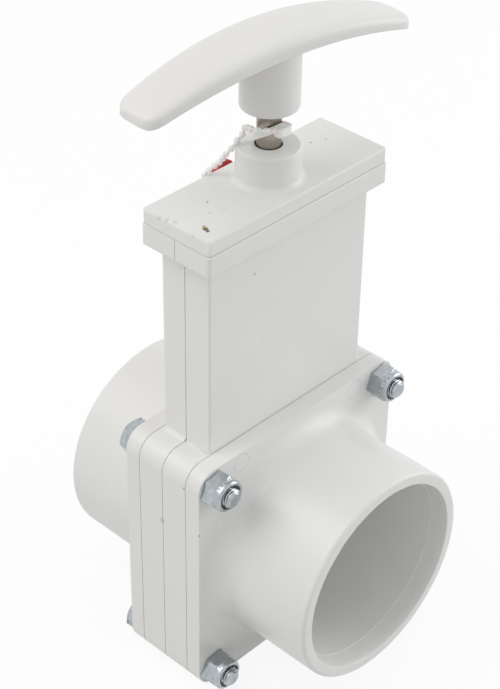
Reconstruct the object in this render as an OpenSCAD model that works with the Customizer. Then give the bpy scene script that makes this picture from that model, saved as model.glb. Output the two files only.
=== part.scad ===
// Slide gate valve with two slip sockets, worked by a pull handle.
// Z runs up the shaft, Y along the flow and X across the body.
// The body stands on z = 0, and the gate is drawn shut.

/* [Pipe sockets] */
// Outside diameter of the pipe that slides into each socket
pipe_od = 60.3; // [58:0.1:62]
// Play between pipe and socket, on the diameter
socket_play = 0.1; // [0.05:0.05:0.4]
// Depth of a socket from its mouth to the shoulder
socket_depth = 36; // [28:1:38]
// Depth of the wider lead-in band at the mouth
lead_depth = 7.5; // [4:0.5:12]
// Extra diameter of the lead-in band
lead_play = 0.7; // [0.2:0.1:1.2]
// Wall of the socket barrel
barrel_wall = 4.5; // [3.5:0.1:5.5]
// Radius of the barrel's outer edge at the mouth
mouth_round = 1.2; // [0.6:0.1:2]
// Radius of the sweep from the barrel into its flange
barrel_fillet = 6; // [3:0.5:7]
// Thickness of the shoulder that stops the pipe
shoulder_t = 4.4; // [3:0.1:8]
// How far the shoulder stands in from the socket's wall
shoulder_w = 4.8; // [3:0.1:7]

/* [Body] */
// How far the square flanges and body stand out past the barrels
flange_reach = 7.5; // [7:0.1:12]
// Radius of the body's corners
body_corner = 6.25; // [3:0.25:8]
// Thickness of one body half
half_t = 9.4; // [8.5:0.1:12]
// Thickness of a hub's flange
flange_t = 5.6; // [4:0.1:8]
// Width of the seam groove between two bodies of plastic
seam_w = 0.3; // [0.2:0.1:0.6]
// Depth of the seam groove
seam_depth = 0.35; // [0.2:0.05:0.8]

/* [Neck and cap] */
// Side wall of the neck that the gate rises into
neck_wall = 2.9; // [2.4:0.1:5]
// Radius of the upright edges of the neck's front half
neck_corner_front = 0.8; // [0.5:0.1:2]
// Radius of the upright edges of the neck's rear half
neck_corner_rear = 1.3; // [0.5:0.1:2.4]
// Radius of the fillets at the foot of the neck's rear half
neck_foot = 1.5; // [0.5:0.1:3]
// How far the rim stands out past the neck's sides
rim_reach = 3.7; // [2:0.1:6]
// How far the rim stands out past the neck's front and back
rim_lap = 3.6; // [2:0.1:6]
// Thickness of the rim
rim_t = 7.2; // [4:0.1:9]
// Radius of the rim's upright corners
rim_corner = 1.2; // [0.8:0.1:2.4]
// Radius of the rim's lower edges
rim_edge = 1.4; // [0.6:0.1:2]
// How far the cap stands back from the rim, each side
cap_inset = 0.25; // [0:0.05:1]
// Thickness of the cap plate
cap_t = 4.8; // [4:0.1:8]
// Radius of the cap's top edges
cap_edge = 0.8; // [0.4:0.1:1.4]
// Diameter of the boss that guides the shaft
boss_d = 18.4; // [16:0.2:22]
// Height of the boss above the cap
boss_h = 10.4; // [6:0.2:14]
// Radius of the fillet round the foot of the boss
boss_fillet = 2; // [1:0.1:3]
// Radius of the boss's top edge
boss_edge = 0.8; // [0.4:0.1:1.4]

/* [Gate and shaft] */
// How far the gate overlaps the waterway, all round
gate_lap = 3.6; // [3:0.1:5]
// Thickness of the gate
gate_t = 7.6; // [6.8:0.1:8]
// Height of the gate above its half-round lower end's circle
gate_head = 27; // [20:0.5:40]
// How much further the gate travels than the waterway is wide
travel_over = 4.2; // [2:0.1:10]
// Room left above the gate when it is right up
gate_room = 1.4; // [1:0.1:5]
// Play of the gate in its chamber, each side
gate_play = 0.4; // [0.2:0.05:0.5]
// Gap between the gate and each seal
seal_gap = 0.25; // [0.1:0.05:0.4]
// Width of a seal ring from its bore to its outside
seal_w = 3.6; // [2.5:0.1:4]
// Diameter of the shaft
shaft_d = 7; // [6:0.1:8]
// Play of the shaft in the boss, on the diameter
shaft_play = 0.8; // [0.4:0.1:1.2]
// Diameter of the shaft's lower end, which screws into the gate
spigot_d = 4.8; // [4:0.1:5.4]
// Length of the shaft's lower end
spigot_l = 14; // [8:1:20]
// Diameter of the wiper ring under the cap
wiper_d = 11.4; // [10:0.2:14]
// Height of the wiper ring
wiper_h = 4; // [3:0.2:6]
// Running gap between the wiper ring and the shaft
wiper_gap = 0.08; // [0.02:0.01:0.1]

/* [Handle] */
// Gap between the boss and the handle's hub when shut
hub_gap = 11.5; // [8:0.1:20]
// Diameter of the handle's hub
hub_d = 16.8; // [14:0.2:20]
// Radius of the hub's lower edge
hub_edge = 1.2; // [0.5:0.1:2]
// Height of the hub up to the underside of the bar
hub_h = 17.9; // [12:0.1:24]
// Length of the bar from tip to tip
bar_l = 93.4; // [80:0.2:120]
// Width of the bar over the hub
bar_w = 19.4; // [18:0.2:24]
// Width of the bar at its tips
tip_w = 14.8; // [10:0.2:18]
// Thickness of the bar over the hub
bar_t = 5.6; // [4:0.1:9]
// Thickness of the bar at its tips
tip_t = 3.9; // [3:0.1:6]
// Drop of the bar's underside from the hub to the tips
bar_drop = 7.4; // [2:0.2:14]
// Radius of the tips' corners, seen from above
tip_corner = 4.2; // [2:0.1:5]
// Radius of the tips' upper and lower edges
tip_edge = 1.4; // [0.8:0.1:1.9]
// Angle at which the screwed-on handle came to rest
handle_turn = -5; // [-90:1:90]
// Length of shaft held in the handle
grip_l = 15; // [8:1:18]

/* [Fasteners] */
// Distance of each bolt from the body's two nearest sides
bolt_inset = 6.2; // [5.8:0.1:8]
// Diameter of the bolts
bolt_d = 6; // [5:0.1:7]
// Play of a bolt in its hole, on the diameter
bolt_play = 0.3; // [0.1:0.05:0.8]
// Chamfer on a bolt's end
bolt_chamfer = 0.5; // [0.2:0.1:1]
// Width across the flats of heads and nuts
hex_af = 10; // [9:0.1:11.4]
// Height of a bolt head
head_h = 4; // [3:0.1:6]
// How far the rim of a head or nut is turned down inside its flats
rim_turn = 0.25; // [0.1:0.05:0.5]
// Height of a nut's hexagon
nut_hex_h = 4; // [3:0.1:8]
// Height of the collar that holds the nylon ring
collar_h = 2.7; // [1.5:0.1:4]
// Radius of the collar's outer edge
collar_edge = 0.9; // [0.3:0.1:1.2]
// Diameter of the nylon ring
insert_d = 7.8; // [7.2:0.1:8.4]
// How far the nylon ring lies below the collar's lip
insert_recess = 0.8; // [0.2:0.1:1.4]
// How far a bolt's end stands out of its nut
bolt_proud = 1.6; // [0.6:0.1:4]

/* [Tie and lock clip] */
// Diameter of the tie's beads
bead_d = 1.9; // [1.4:0.1:2]
// Diameter of the tie between its beads
strap_d = 0.9; // [0.7:0.1:1.4]
// Height of the tie's flat end, which loops round the shaft
band_h = 2.2; // [1.6:0.1:2.4]
// Thickness of the tie's flat end
band_t = 0.6; // [0.5:0.1:0.8]
// Gap between the flat end and the shaft
band_gap = 0.3; // [0.3:0.1:0.6]
// Gap between the tie's head and the shaft, and between the tie and what it lies on
tie_gap = 0.3; // [0.2:0.1:0.4]
// Length of the tie's head
head_l = 5; // [4.4:0.1:5.4]
// Width of the tie's head
head_w = 3; // [2.6:0.1:3.4]
// Height of the tie's head
head_t = 2.6; // [2.4:0.1:3.2]
// Radius of the head's upright corners
head_corner = 1.1; // [0.4:0.1:1.3]
// Length of the lock clip's channel
clip_l = 50; // [30:1:60]
// Wall of the lock clip
clip_wall = 1.8; // [1.2:0.1:2.6]
// Running gap between the clip and the shaft that it snaps over
clip_gap = 0.1; // [0.05:0.05:0.3]
// Width of the clip's mouth
clip_mouth = 5.6; // [5:0.1:6.4]
// Width of the tab that the tie holds
tab_w = 7; // [6:0.5:9]
// Radius of the eye that the tie goes through
eye_r = 1.7; // [1.5:0.1:2]
// Thickness of the tab
tab_t = 2; // [1.4:0.1:2.6]
// Gap between the tab and the rim in front of it
tab_gap = 2.4; // [2.2:0.1:4]

/* [Hidden] */
$fn = 96;
cut = 1; // how far a cutting solid runs past the face it opens

socket_r = (pipe_od + socket_play) / 2;
barrel_r = socket_r + barrel_wall;
waterway_r = socket_r - shoulder_w;
flange_y = half_t + flange_t;
mouth_y = half_t + shoulder_t + socket_depth;
body_w = 2 * (barrel_r + flange_reach);
bore_z = body_w / 2;

gate_r = waterway_r + gate_lap;
chamber_r = gate_r + gate_play;
chamber_t = gate_t + 2 * gate_play;
gate_top = bore_z + gate_r + gate_head;
gate_travel = 2 * waterway_r + travel_over;
seal_y = gate_t / 2 + seal_gap;
seal_r = waterway_r + seal_w;

cap_z = gate_top + gate_travel + gate_room;
rim_z = cap_z - rim_t;
boss_z = cap_z + cap_t;
boss_top = boss_z + boss_h;
neck_w = 2 * (chamber_r + neck_wall);
rim_w = neck_w + 2 * rim_reach;
rim_d = 2 * (half_t + rim_lap);
shaft_r = shaft_d / 2;
guide_r = (shaft_d + shaft_play) / 2;

hub_z = boss_top + hub_gap;
bar_z = hub_z + hub_h;

bolt_r = bolt_d / 2;
bolt_hole_r = (bolt_d + bolt_play) / 2;
bolt_off = body_w / 2 - bolt_inset;
nut_h = nut_hex_h + collar_h;
// Corner signs of the bolts, in the order lower left, lower right, upper left, upper right
CORNERS = [[-1, -1], [1, -1], [-1, 1], [1, 1]];
// Angle at which each bolt's head and each nut came to rest, in that order
HEAD_TURNS = [15, 40, 0, 25];
NUT_TURNS = [2, 20, 12, 8];

// ---- plane shapes -------------------------------------------------------

module rounded_rect(w, h, r) {
    square([w - 2 * r, h], center = true);
    square([w, h - 2 * r], center = true);
    for (sx = [-1, 1], sy = [-1, 1])
        translate([sx * (w / 2 - r), sy * (h / 2 - r)]) circle(r);
}

// A strip from y = 0 to h with its two lower corners rounded
module tray_profile(w, h, r) {
    translate([-w / 2, r]) square([w, h - r]);
    translate([r - w / 2, 0]) square([w - 2 * r, h]);
    for (s = [-1, 1]) translate([s * (w / 2 - r), r]) circle(r);
}

// The body seen along the flow: block, neck and rim, drawn in by inset
module body_outline(inset = 0) {
    translate([0, bore_z])
        rounded_rect(body_w - 2 * inset, body_w - 2 * inset, body_corner - inset);
    translate([inset - neck_w / 2, bore_z])
        square([neck_w - 2 * inset, cap_z - bore_z]);
    translate([inset - rim_w / 2, rim_z + inset])
        square([rim_w - 2 * inset, rim_t - inset]);
}

// ---- helpers ------------------------------------------------------------

// Extrudes a shape drawn in X and Z along the flow, from y0 to y1
module along_flow(y0, y1) {
    translate([0, y1, 0]) rotate([90, 0, 0]) linear_extrude(y1 - y0) children();
}

// A cylinder whose axis is a line along the flow
module flow_cylinder(x, z, r, y0, y1) {
    translate([x, y1, z]) rotate([90, 0, 0]) cylinder(r = r, h = y1 - y0);
}

// A block on z = 0 with rounded upright corners and rounded lower edges
module tray_block(w, d, h, corner, edge) {
    intersection() {
        linear_extrude(h) rounded_rect(w, d, corner);
        along_flow(-d, d) tray_profile(w, h, edge);
        rotate([0, 0, 90]) along_flow(-w, w) tray_profile(d, h, edge);
    }
}

// Sends its children to each bolt's axis
module at_bolt(corner) {
    translate([corner[0] * bolt_off, 0, bore_z + corner[1] * bolt_off]) children();
}

module bolt_holes(y0, y1) {
    for (c = CORNERS) at_bolt(c) flow_cylinder(0, 0, bolt_hole_r, y0, y1);
}

// Skins a row of rings, whose points run anticlockwise about the way they lead
module swept(rings) {
    n = len(rings[0]);
    last = len(rings) - 1;
    polyhedron(points = [for (ring = rings) each ring], faces = concat(
        [[for (k = [0 : n - 1]) k]],
        [[for (k = [n - 1 : -1 : 0]) last * n + k]],
        [for (i = [0 : last - 1], k = [0 : n - 1])
            [i * n + k, (i + 1) * n + (k + 1) % n, i * n + (k + 1) % n]],
        [for (i = [0 : last - 1], k = [0 : n - 1])
            [i * n + k, (i + 1) * n + k, (i + 1) * n + (k + 1) % n]]));
}

// ---- hubs ---------------------------------------------------------------

// Half section of a barrel, radius along x and height above the flange along y
module barrel_profile(length) {
    difference() {
        square([barrel_r, length]);
        translate([barrel_r - mouth_round, length - mouth_round]) difference() {
            square(mouth_round + cut);
            circle(mouth_round);
        }
    }
    difference() {
        square(barrel_r + barrel_fillet);
        translate([0, barrel_fillet]) square(barrel_r + barrel_fillet + cut);
        translate([barrel_r + barrel_fillet, barrel_fillet]) circle(barrel_fillet);
    }
}

// A hub with its flange's back on y = 0 and its mouth towards -Y
module hub() {
    barrel_l = mouth_y - flange_y;
    length = flange_t + barrel_l;
    difference() {
        union() {
            along_flow(-flange_t, -seam_w) rounded_rect(body_w, body_w, body_corner);
            along_flow(-flange_t, 0)
                rounded_rect(body_w - 2 * seam_depth, body_w - 2 * seam_depth,
                             body_corner - seam_depth);
            translate([0, -flange_t, 0]) rotate([90, 0, 0])
                rotate_extrude() barrel_profile(barrel_l);
        }
        flow_cylinder(0, 0, waterway_r, -length, cut);
        flow_cylinder(0, 0, socket_r, -length - cut, -length + socket_depth);
        flow_cylinder(0, 0, socket_r + lead_play / 2, -length - cut, -length + lead_depth);
        translate([0, 0, -bore_z]) bolt_holes(-flange_t - cut, cut);
    }
}

module front_hub() color("whitesmoke") translate([0, -half_t, bore_z]) hub();
module rear_hub() color("gainsboro") translate([0, half_t, bore_z]) mirror([0, 1, 0]) hub();

// ---- body halves --------------------------------------------------------

// The space that the gate slides in, open at the top
module chamber() {
    along_flow(-chamber_t / 2, chamber_t / 2) {
        translate([0, bore_z]) circle(chamber_r);
        translate([-chamber_r, bore_z]) square([2 * chamber_r, cap_z - bore_z + cut]);
    }
}

// The front half lies at negative y. The neck's upright edges have radius corner,
// and fillets of radius foot run along its two sides on top of the block.
module body_half(corner, foot) {
    intersection() {
        difference() {
            union() {
                along_flow(-half_t, 0) translate([0, bore_z])
                    rounded_rect(body_w, body_w, body_corner);
                translate([0, 0, bore_z]) linear_extrude(cap_z - bore_z)
                    rounded_rect(neck_w, 2 * half_t, corner);
                along_flow(corner - half_t, 0) translate([0, body_w]) difference() {
                    translate([-neck_w / 2 - foot, -foot]) square([neck_w + 2 * foot, 2 * foot]);
                    for (s = [-1, 1]) translate([s * (neck_w / 2 + foot), foot]) circle(foot);
                }
                translate([0, 0, rim_z])
                    tray_block(rim_w, rim_d, rim_t, rim_corner, rim_edge);
            }
            chamber();
            flow_cylinder(0, bore_z, seal_r, -half_t - cut, cut);
            bolt_holes(-half_t - cut, cut);
            along_flow(-seam_w / 2, cut) difference() {
                translate([-body_w, -cut]) square([2 * body_w, cap_z + 2 * cut]);
                body_outline(seam_depth);
            }
        }
        translate([-body_w, -rim_d, -cut]) cube([2 * body_w, rim_d, cap_z + 2 * cut]);
    }
}

module front_body_half() color("white") body_half(neck_corner_front, seam_depth);
module rear_body_half() color("lightgray") mirror([0, 1, 0])
    body_half(neck_corner_rear, neck_foot);

// ---- cap and wiper ------------------------------------------------------

module bonnet_cap() color("snow") {
    cap_w = rim_w - 2 * cap_inset;
    cap_d = rim_d - 2 * cap_inset;
    difference() {
        union() {
            translate([0, 0, boss_z]) mirror([0, 0, 1])
                tray_block(cap_w, cap_d, cap_t - seam_w, rim_corner, cap_edge);
            translate([0, 0, cap_z]) linear_extrude(cap_t / 2)
                rounded_rect(cap_w - 2 * seam_depth, cap_d - 2 * seam_depth,
                             rim_corner - seam_depth);
            translate([0, 0, boss_z]) rotate_extrude() boss_profile();
        }
        translate([0, 0, cap_z - cut]) cylinder(r = guide_r, h = boss_top - cap_z + 2 * cut);
        translate([0, 0, cap_z - cut]) cylinder(d = wiper_d, h = wiper_h + cut);
    }
}

module boss_profile() {
    difference() {
        square([boss_d / 2, boss_h]);
        translate([boss_d / 2 - boss_edge, boss_h - boss_edge]) difference() {
            square(boss_edge + cut);
            circle(boss_edge);
        }
    }
    difference() {
        square([boss_d / 2 + boss_fillet, boss_fillet]);
        translate([boss_d / 2 + boss_fillet, boss_fillet]) circle(boss_fillet);
    }
}

module shaft_wiper() color("dimgray") {
    translate([0, 0, cap_z]) difference() {
        cylinder(d = wiper_d, h = wiper_h);
        translate([0, 0, -cut]) cylinder(r = shaft_r + wiper_gap, h = wiper_h + 2 * cut);
    }
}

// ---- seals --------------------------------------------------------------

// A ring seated in a body half's bore, backed by the hub's flange
module seal_ring() {
    difference() {
        flow_cylinder(0, bore_z, seal_r, -half_t, -seal_y);
        flow_cylinder(0, bore_z, waterway_r, -half_t - cut, cut);
    }
}

module front_seal() color("darkslategray") seal_ring();
module rear_seal() color("darkslategray") mirror([0, 1, 0]) seal_ring();

// ---- gate, shaft and handle, which rise together ------------------------

module gate() color("khaki") {
    difference() {
        along_flow(-gate_t / 2, gate_t / 2) {
            translate([0, bore_z]) circle(gate_r);
            translate([-gate_r, bore_z]) square([2 * gate_r, gate_top - bore_z]);
        }
        translate([0, 0, gate_top - spigot_l]) cylinder(d = spigot_d, h = spigot_l + cut);
    }
}

module shaft() color("silver") {
    translate([0, 0, gate_top]) cylinder(r = shaft_r, h = hub_z + grip_l - gate_top);
    translate([0, 0, gate_top - spigot_l]) cylinder(d = spigot_d, h = spigot_l);
}

// Share of the way from the bar's middle to a tip, bunched towards the tips
BAR_RINGS = 36;
RING_POINTS = 32;
function station(i) = sin(90 * (2 * i / BAR_RINGS - 1)) * bar_l / 2;
// What is left of a size v at x, where an edge of radius r turns over at the tips
function turned(v, x, r) =
    let (past = max(0, abs(x) - bar_l / 2 + r)) v - r + sqrt(max(0, r * r - past * past));
function blend(middle, tip, x) = middle + (tip - middle) * pow(abs(2 * x / bar_l), 2);
function bar_half_w(x) = turned(blend(bar_w, tip_w, x) / 2, x, tip_corner);
function bar_under(x) = bar_z - bar_drop * pow(2 * x / bar_l, 2);
function bar_thick(x) = blend(bar_t, tip_t, x);
// Shares of the bar's thickness below and above its widest line
BELLY = 0.2;
CROWN = 1 - BELLY;
function signed_pow(v, p) = sign(v) * pow(abs(v), p);
// A ring of the bar: nearly square below, gently crowned above
function bar_ring(x) = [
    for (k = [0 : RING_POINTS - 1])
        let (a = 360 * (k + 0.5) / RING_POINTS, up = sin(a) > 0,
             p = up ? 2 / 4 : 2 / 5,
             h = turned((up ? CROWN : BELLY) * bar_thick(x) + tip_edge, x, tip_edge) - tip_edge)
        [x, signed_pow(cos(a), p) * bar_half_w(x),
         bar_under(x) + BELLY * bar_thick(x) + signed_pow(sin(a), p) * max(h, 0.1)]
];

module handle_bar() {
    swept([for (i = [0 : BAR_RINGS]) bar_ring(station(i))]);
}

module hub_profile() {
    intersection() {
        tray_profile(hub_d, hub_h + bar_t / 2, hub_edge);
        square([hub_d, hub_h + bar_t]);
    }
}

module handle() color("ivory") rotate([0, 0, handle_turn]) difference() {
    union() {
        handle_bar();
        translate([0, 0, hub_z]) rotate_extrude() hub_profile();
    }
    translate([0, 0, hub_z - cut]) cylinder(r = shaft_r, h = grip_l + cut);
}

// ---- bolts, nuts and nylon rings ----------------------------------------

// A hexagon on z = 0 whose corners are turned down at 30 degrees to radius base_r
// at its foot and top_r at its top
module hex_body(h, base_r, top_r) {
    corner_r = hex_af / 2 / cos(30);
    intersection() {
        cylinder(r = corner_r, h = h, $fn = 6);
        rotate_extrude() polygon([
            [0, 0], [base_r, 0], [corner_r, (corner_r - base_r) * tan(30)],
            [corner_r, h - (corner_r - top_r) * tan(30)], [top_r, h], [0, h]]);
    }
}

// Half section of a nut's collar above its hexagon
module collar_profile() {
    r = hex_af / 2;
    square([r - collar_edge, collar_h]);
    square([r, collar_h - collar_edge]);
    translate([r - collar_edge, collar_h - collar_edge]) intersection() {
        circle(collar_edge);
        square(collar_edge);
    }
}

module bolt(i) color("lightsteelblue") at_bolt(CORNERS[i]) {
    end_y = -flange_y - nut_h - bolt_proud;
    translate([0, flange_y, 0]) rotate([-90, -HEAD_TURNS[i], 0])
        hex_body(head_h, hex_af / 2 / cos(30), hex_af / 2 - rim_turn);
    flow_cylinder(0, 0, bolt_r, end_y + bolt_chamfer, flange_y);
    translate([0, end_y + bolt_chamfer, 0]) rotate([90, 0, 0])
        cylinder(r1 = bolt_r, r2 = bolt_r - bolt_chamfer, h = bolt_chamfer);
}

module nut(i) color("lightsteelblue") at_bolt(CORNERS[i])
    translate([0, -flange_y, 0]) rotate([90, NUT_TURNS[i], 0]) difference() {
        union() {
            hex_body(nut_hex_h, hex_af / 2 + rim_turn, hex_af / 2);
            translate([0, 0, nut_hex_h]) rotate_extrude() collar_profile();
        }
        translate([0, 0, -cut]) cylinder(r = bolt_r, h = nut_h + 2 * cut);
        translate([0, 0, nut_hex_h]) cylinder(d = insert_d, h = collar_h + cut);
    }

module nylon_ring(i) color("darkslateblue") at_bolt(CORNERS[i]) difference() {
    flow_cylinder(0, 0, insert_d / 2, -flange_y - nut_h + insert_recess,
                  -flange_y - nut_hex_h);
    flow_cylinder(0, 0, bolt_r, -flange_y - nut_h - cut, cut - flange_y);
}

module bolt_lower_left() bolt(0);
module bolt_lower_right() bolt(1);
module bolt_upper_left() bolt(2);
module bolt_upper_right() bolt(3);
module nut_lower_left() nut(0);
module nut_lower_right() nut(1);
module nut_upper_left() nut(2);
module nut_upper_right() nut(3);
module nylon_ring_lower_left() nylon_ring(0);
module nylon_ring_lower_right() nylon_ring(1);
module nylon_ring_upper_left() nylon_ring(2);
module nylon_ring_upper_right() nylon_ring(3);

// ---- tie and lock clip --------------------------------------------------

clip_in_r = shaft_r + clip_gap;
clip_out_r = clip_in_r + clip_wall;
clip_x = -1;
tab_y = rim_d / 2 + tab_gap;
tab_back = tab_y + tab_t;
clip_y = tab_y + tab_t / 2;
clip_top = rim_z - clip_wall;
eye_z = cap_z + tie_gap;

bead_r = bead_d / 2;
// Direction from the shaft to the head
HEAD_WAY = -93;
head_off = shaft_r + tie_gap + head_w / 2;
head_z = boss_top + 6.3;
strap_z = head_z + head_t / 3;
// The flat end's way once round the shaft, clockwise from above and back into the
// head: direction from the shaft and height of its lower edge over the boss
band_mid_r = shaft_r + band_gap + band_t / 2;
band_rise = 5.2; // how far the band climbs from its low side to the head
band_z = boss_top + tie_gap + (band_h + band_rise) / 2;
band_slope = atan(band_rise / 2 / band_mid_r);
lay_y = rim_d / 2 + tab_gap / 2; // the strap hangs midway between the rim and the tab
// Middle of each bead, from the head round the front of the shaft, down over the
// boss and the cap's rear edge and through the eye of the clip
BEADS = [
    [-3.3, -5.2, strap_z + 0.1],
    [-5.2, -3.9, strap_z + 0.2],
    [-6.3, -1.8, strap_z],
    [-6.4, 0.5, strap_z - 0.5],
    [-5.7, 2.7, strap_z - 1.2],
    [-4.8, 4.6, strap_z - 2.4],
    [-4.8, 5.4, boss_top + 2.5],
    [-6.6, 5.6, boss_top + 1.2],
    [-8.7, 5.8, boss_top - 0.6],
    [-9.2, 7.3, boss_top - 2.7],
    [-9.4, 8.3, boss_top - 4.3],
    [-9.6, 9.4, boss_z + 4.5],
    [-10.1, 10.8, boss_z + 3],
    [-10.9, 12.2, boss_z + 1.2],
    [-10.8, 13.9, boss_z - 1],
    [-9.6, lay_y, boss_z - 3],
    [-7.6, lay_y, eye_z + 0.4],
    [-5.3, lay_y, eye_z],
    [-3, lay_y, eye_z],
    [clip_x, tab_y + tab_t / 3, eye_z],
    [clip_x, tab_back + bead_r + tie_gap, eye_z]
];
function nth(list, i) = list[max(0, min(len(list) - 1, i))];
// The point at u on a smooth curve through a list of points
function on_curve(list, u) =
    let (i = min(floor(u), len(list) - 2), t = u - i,
         a = nth(list, i - 1), b = nth(list, i), c = nth(list, i + 1), d = nth(list, i + 2))
    0.5 * (2 * b + (c - a) * t + (2 * a - 5 * b + 4 * c - d) * t * t
           + (3 * b - a - 3 * c + d) * t * t * t);

// Rings of the strap: each one is a circle square to the route, as wide as the
// bead or the bare strap is there
STRAP_SIDES = 8;
RINGS_PER_BEAD = 7;
STRAP_ASIDE = [1, 1, 1.5]; // a direction that the route never takes
function unit(v) = v / norm(v);
function strap_radius(u) =
    let (away = norm(on_curve(BEADS, u) - nth(BEADS, round(u))))
    max(strap_d / 2, away < bead_r ? sqrt(bead_r * bead_r - away * away) : 0);
function strap_ring(u) =
    let (p = on_curve(BEADS, u), step = 1 / RINGS_PER_BEAD,
         along = unit(on_curve(BEADS, u + step) - on_curve(BEADS, u - step)),
         side = unit(cross(along, STRAP_ASIDE)), up = cross(along, side),
         r = strap_radius(u))
    [for (k = [0 : STRAP_SIDES - 1]) let (a = 360 * k / STRAP_SIDES)
        p + r * (cos(a) * side + sin(a) * up)];

module tie_strap() color("honeydew") {
    count = (len(BEADS) - 1) * RINGS_PER_BEAD;
    swept([for (i = [0 : count]) strap_ring(i / RINGS_PER_BEAD)]);
}

// Rings of the flat end: each one is an upright oblong with its corners cut
module tie_head() color("honeydew") {
    rotate([0, 0, HEAD_WAY]) translate([head_off, 0, head_z - head_t / 2])
        linear_extrude(head_t) rounded_rect(head_w, head_l, head_corner);
    intersection() {
        translate([0, 0, boss_top]) difference() {
            cylinder(r = band_mid_r + band_t / 2, h = band_rise + 2 * band_h);
            translate([0, 0, -cut]) cylinder(r = band_mid_r - band_t / 2, h = band_rise + 2 * band_h + 2 * cut);
        }
        translate([0, 0, band_z]) rotate([0, 0, HEAD_WAY]) rotate([0, -band_slope, 0])
            cube([4 * band_mid_r, 4 * band_mid_r, band_h * cos(band_slope)], center = true);
    }
}

module lock_clip() color("crimson") {
    difference() {
        union() {
            translate([clip_x, clip_y, clip_top - clip_l])
                cylinder(r = clip_out_r, h = clip_l);
            along_flow(tab_y, tab_back) {
                translate([clip_x, eye_z]) circle(d = tab_w);
                translate([clip_x - tab_w / 2, clip_top - tab_w])
                    square([tab_w, eye_z - clip_top + tab_w]);
            }
        }
        translate([clip_x, clip_y, clip_top - clip_l - cut])
            cylinder(r = clip_in_r, h = clip_l + cut);
        translate([clip_x - clip_mouth / 2, clip_y, clip_top - clip_l - cut])
            cube([clip_mouth, clip_out_r + cut, clip_l + cut]);
        flow_cylinder(clip_x, eye_z, eye_r, tab_y - cut, tab_back + cut);
    }
}

front_hub();
rear_hub();
front_body_half();
rear_body_half();
bonnet_cap();
shaft_wiper();
front_seal();
rear_seal();
gate();
shaft();
handle();
bolt_lower_left();
bolt_lower_right();
bolt_upper_left();
bolt_upper_right();
nut_lower_left();
nut_lower_right();
nut_upper_left();
nut_upper_right();
nylon_ring_lower_left();
nylon_ring_lower_right();
nylon_ring_upper_left();
nylon_ring_upper_right();
tie_strap();
tie_head();
lock_clip();
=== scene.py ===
import math
import bpy
from bpy.props import FloatProperty, FloatVectorProperty, IntProperty, PointerProperty
from mathutils import Matrix, Vector


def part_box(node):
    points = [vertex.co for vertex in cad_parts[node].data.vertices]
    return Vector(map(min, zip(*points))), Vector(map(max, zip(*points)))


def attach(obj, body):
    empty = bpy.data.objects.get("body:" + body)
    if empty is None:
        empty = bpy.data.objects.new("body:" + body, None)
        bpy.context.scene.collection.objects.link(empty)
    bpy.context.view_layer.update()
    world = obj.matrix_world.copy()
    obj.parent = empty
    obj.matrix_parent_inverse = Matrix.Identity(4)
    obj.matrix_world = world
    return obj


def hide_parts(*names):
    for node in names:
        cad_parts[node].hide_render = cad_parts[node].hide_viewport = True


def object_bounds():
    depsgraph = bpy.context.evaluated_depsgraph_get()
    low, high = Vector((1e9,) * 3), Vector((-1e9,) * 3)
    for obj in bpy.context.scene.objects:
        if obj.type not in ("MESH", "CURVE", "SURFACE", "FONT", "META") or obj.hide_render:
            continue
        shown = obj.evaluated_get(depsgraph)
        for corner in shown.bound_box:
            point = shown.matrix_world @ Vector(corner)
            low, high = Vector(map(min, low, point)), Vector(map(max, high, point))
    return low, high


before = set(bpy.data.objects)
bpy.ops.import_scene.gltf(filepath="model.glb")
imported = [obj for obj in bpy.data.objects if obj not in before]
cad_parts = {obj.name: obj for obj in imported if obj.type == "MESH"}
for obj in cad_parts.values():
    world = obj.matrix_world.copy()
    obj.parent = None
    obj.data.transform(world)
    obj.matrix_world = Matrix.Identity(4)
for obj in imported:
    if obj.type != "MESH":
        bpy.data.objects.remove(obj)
CAD_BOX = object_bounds()

bl_info = {
    "name": "Slide gate valve dressing",
    "version": (1, 0, 0),
    "blender": (4, 5, 0),
    "location": "3D View > Sidebar > Slide Gate Valve",
    "description": "Dresses a slide gate valve: moulded edges, locknuts, threads, handle, tie, finishes",
    "category": "Object",
}

MM = 0.001
FIXED = "valve_body"
MOVING = "gate_assembly"
CORNERS = ("lower_left", "lower_right", "upper_left", "upper_right")

# ---- sizes of the construction model that pieces are shaped by -----------------------

# Vertices this close to a plane lie in it
NEAR = 0.02 * MM
# Radius and depth of the lead-in band at each socket's mouth
LEAD_R = 30.55 * MM
LEAD_DEPTH = 7.5 * MM
# Between a socket's lead-in band and its outside
MOUTH_R = 32 * MM
# Between the barrel and the flange's outline, from the bore's axis
BARREL_R = 35.2 * MM
# Between the gate's slot and the outline of the rim at the neck's top
RIM_Y = 9 * MM
# Between the shaft's guide bore and the boss's outside
GUIDE_R = 7 * MM
HANDLE_HUB_R = 8.4 * MM
# From the foot of the handle's hub to just under its bar
HUB_REACH = 17 * MM
BOLT_R = 3 * MM
# Chamfer that the bolt's end has before it is dressed
PLAIN_CHAMFER = 0.5 * MM
# The stretch of Y that holds the front corners of the nuts' hexagons
HEXAGON_FRONT = (-19.1 * MM, -16 * MM)
# Just outside the band of the tie's head that goes round the shaft
TIE_BAND_R = 4.6 * MM

# ---- dressing ------------------------------------------------------------------------

# Further turn of each locknut on its bolt, in degrees and in the corners' order
NUT_TURNS = (54, 0, 36, 42)
# The lead-in band's flare between the lip and its inner end: depth and extra radius
FLARE = ((0.6 * MM, 0.2 * MM), (1.8 * MM, 0.02 * MM), (3.6 * MM, -0.1 * MM))

# Heights and places in mm for the marks below
BORE_Z = 42.2
FLANGE_Y = 15
CAP_TOP = 159.4
PIN_X = 24.8
PIN_RISE = 38.2

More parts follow.
